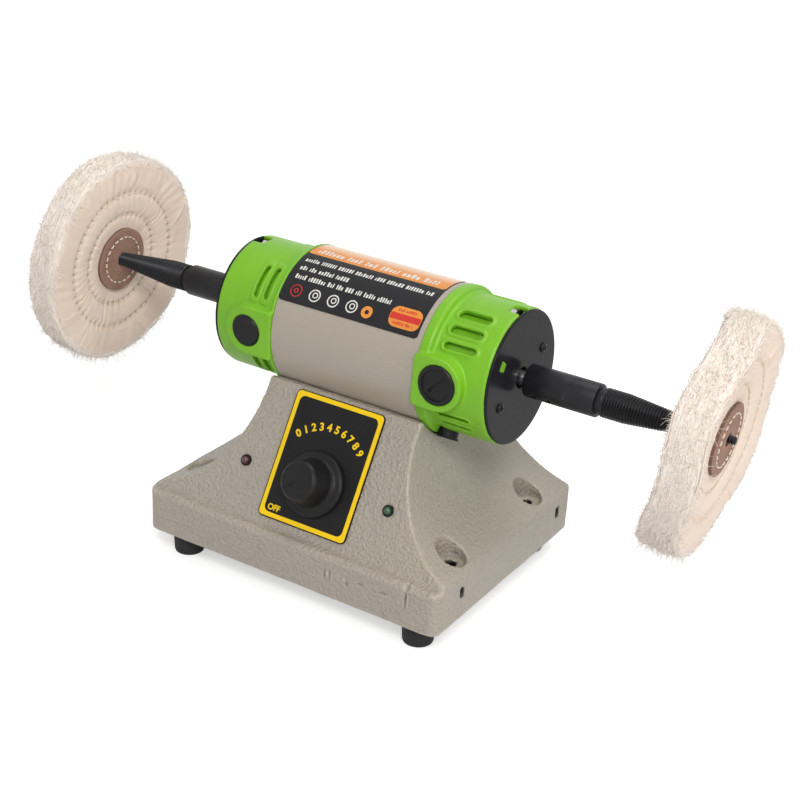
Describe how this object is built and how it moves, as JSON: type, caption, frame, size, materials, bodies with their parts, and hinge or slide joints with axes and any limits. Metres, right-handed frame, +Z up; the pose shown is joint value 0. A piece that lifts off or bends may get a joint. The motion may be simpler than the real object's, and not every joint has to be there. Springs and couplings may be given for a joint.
{
  "type": "bench polisher",
  "caption": "Two-ended bench polisher: cast base with speed knob, brush motor with moulded green ends, tapered spindles and stitched cloth wheels.",
  "frame": {"origin": "on the plane under the feet, below the middle of the motor, half way between the base's front and rear", "axes": "+X along the motor to the right, +Y to the rear away from the speed knob, +Z up"},
  "size_m": [0.4226, 0.15, 0.1962],
  "materials": {
    "cast_paint": "satin, fine hammered texture",
    "casing_paint": "satin",
    "zinc_steel": "satin",
    "ground_steel": "ground",
    "black_steel": "black oxide",
    "core_steel": "matt",
    "rubber": "matt",
    "panel_print": "satin black with a yellow border",
    "label_print": "satin black with an orange band",
    "black_plastic": "satin",
    "disc_plastic": "semi-gloss",
    "green_plastic": "moulded, semi-gloss",
    "red_lens": "gloss",
    "green_lens": "gloss",
    "circuit_board": "satin",
    "copper_wire": "varnished",
    "copper_bars": "turned",
    "brass": "satin",
    "carbon": "matt",
    "stitched_cloth": "stitched cotton, frayed rim",
    "leather": "matt"
  },
  "bodies": {
    "machine": {"base_casting": "cast_paint", "bottom_plate": "zinc_steel", "rubber_feet": "rubber", "foot_screws": "zinc_steel", "control_panel": "panel_print", "potentiometer": "zinc_steel", "potentiometer_nut": "zinc_steel", "lamp_bezels": "black_plastic", "red_lamp": "red_lens", "green_lamp": "green_lens", "cable_grommet": "rubber", "speed_board": "circuit_board", "board_screws": "zinc_steel", "motor_casing": "casing_paint", "rating_plate": "label_print", "left_end_housing": "green_plastic", "right_end_housing": "green_plastic", "left_end_disc": "disc_plastic", "right_end_disc": "disc_plastic", "disc_screws": "black_steel", "through_bolts": "zinc_steel", "through_nuts": "zinc_steel", "motor_bolts": "zinc_steel", "wire_plug": "rubber", "stator_core": "core_steel", "field_coils": "copper_wire", "left_bearing": "ground_steel", "right_bearing": "ground_steel", "brush_holders": "brass", "carbon_brushes": "carbon", "brush_springs": "ground_steel", "brush_caps": "black_plastic", "blanking_plugs": "black_plastic"},
    "rotor": {"motor_shaft": "ground_steel", "armature_core": "core_steel", "armature_windings": "copper_wire", "commutator": "copper_bars", "cooling_fan": "black_plastic", "left_spindle": "black_steel", "right_spindle": "black_steel", "spindle_set_screws": "black_steel", "left_cloth_wheel": "stitched_cloth", "right_cloth_wheel": "stitched_cloth", "left_leather_washers": "leather", "right_leather_washers": "leather"},
    "knob": {"speed_knob": "black_plastic", "potentiometer_shaft": "ground_steel"}
  },
  "joints": [
    {"name": "rotor_spin", "type": "hinge", "parent": "machine", "child": "rotor", "pos_m": [0, 0.00765, 0.1328], "axis": [1, 0, 0], "continuous": true},
    {"name": "knob_turn", "type": "hinge", "parent": "machine", "child": "knob", "pos_m": [0, -0.05306, 0.0656], "axis": [0, 0.8603, -0.5098], "range_deg": [0, 270]}
  ]
}
